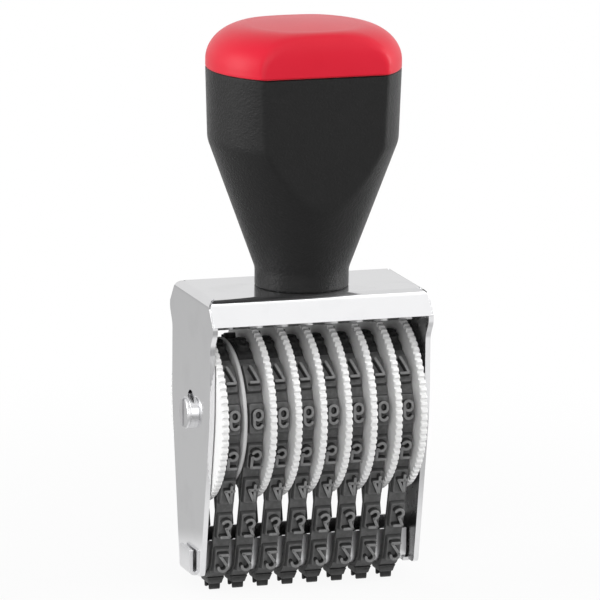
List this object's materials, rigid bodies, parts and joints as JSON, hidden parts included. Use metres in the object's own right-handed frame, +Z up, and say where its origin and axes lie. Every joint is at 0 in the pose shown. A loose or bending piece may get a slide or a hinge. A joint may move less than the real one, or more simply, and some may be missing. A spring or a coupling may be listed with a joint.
{
  "type": "numbering machine",
  "caption": "Hand numbering machine: a folded metal frame with toothed thumbwheels on an axle, rubber number bands over a foot, and a tapered capped handle.",
  "frame": {"origin": "middle of the printing face that the bands' lowest figures make, under the middle of the whole object", "axes": "+X along the axle, to the right as seen from the front; +Y to the rear; +Z up, from the printing face to the handle's cap"},
  "size_m": [0.047, 0.034, 0.1089],
  "materials": {
    "nickel_plate": "bright nickel plating on folded sheet steel",
    "steel": "turned steel",
    "white_plastic": "smooth white moulding",
    "band_rubber": "matte dark grey rubber",
    "black_plastic": "fine leather-like grain",
    "red_plastic": "satin with a very fine grain"
  },
  "bodies": {
    "root": {"frame": "nickel_plate", "foot_channel": "nickel_plate", "axle_rod": "steel", "axle_screw_left": "nickel_plate", "axle_screw_right": "nickel_plate", "end_shim": "steel", "end_spacer": "white_plastic", "separator_disc": "white_plastic", "number_band_1": "band_rubber", "number_band_2": "band_rubber", "number_band_3": "band_rubber", "number_band_4": "band_rubber", "number_band_5": "band_rubber", "number_band_6": "band_rubber", "number_band_7": "band_rubber", "number_band_8": "band_rubber", "handle_body": "black_plastic", "handle_cap": "red_plastic", "handle_screw": "steel", "handle_washer": "steel"},
    "wheel_1": {"thumbwheel_1": "white_plastic"},
    "wheel_2": {"thumbwheel_2": "white_plastic"},
    "wheel_3": {"thumbwheel_3": "white_plastic"},
    "wheel_4": {"thumbwheel_4": "white_plastic"},
    "wheel_5": {"thumbwheel_5": "white_plastic"},
    "wheel_6": {"thumbwheel_6": "white_plastic"},
    "wheel_7": {"thumbwheel_7": "white_plastic"},
    "wheel_8": {"thumbwheel_8": "white_plastic"}
  },
  "joints": [
    {"name": "wheel_1_turn", "type": "hinge", "parent": "root", "child": "wheel_1", "pos_m": [-0.01835, 0, 0.03445], "axis": [1, 0, 0], "continuous": true},
    {"name": "wheel_2_turn", "type": "hinge", "parent": "root", "child": "wheel_2", "pos_m": [-0.01245, 0, 0.03445], "axis": [1, 0, 0], "continuous": true},
    {"name": "wheel_3_turn", "type": "hinge", "parent": "root", "child": "wheel_3", "pos_m": [-0.00745, 0, 0.03445], "axis": [1, 0, 0], "continuous": true},
    {"name": "wheel_4_turn", "type": "hinge", "parent": "root", "child": "wheel_4", "pos_m": [-0.00245, 0, 0.03445], "axis": [1, 0, 0], "continuous": true},
    {"name": "wheel_5_turn", "type": "hinge", "parent": "root", "child": "wheel_5", "pos_m": [0.00255, 0, 0.03445], "axis": [1, 0, 0], "continuous": true},
    {"name": "wheel_6_turn", "type": "hinge", "parent": "root", "child": "wheel_6", "pos_m": [0.00755, 0, 0.03445], "axis": [1, 0, 0], "continuous": true},
    {"name": "wheel_7_turn", "type": "hinge", "parent": "root", "child": "wheel_7", "pos_m": [0.01255, 0, 0.03445], "axis": [1, 0, 0], "continuous": true},
    {"name": "wheel_8_turn", "type": "hinge", "parent": "root", "child": "wheel_8", "pos_m": [0.01755, 0, 0.03445], "axis": [1, 0, 0], "continuous": true}
  ]
}
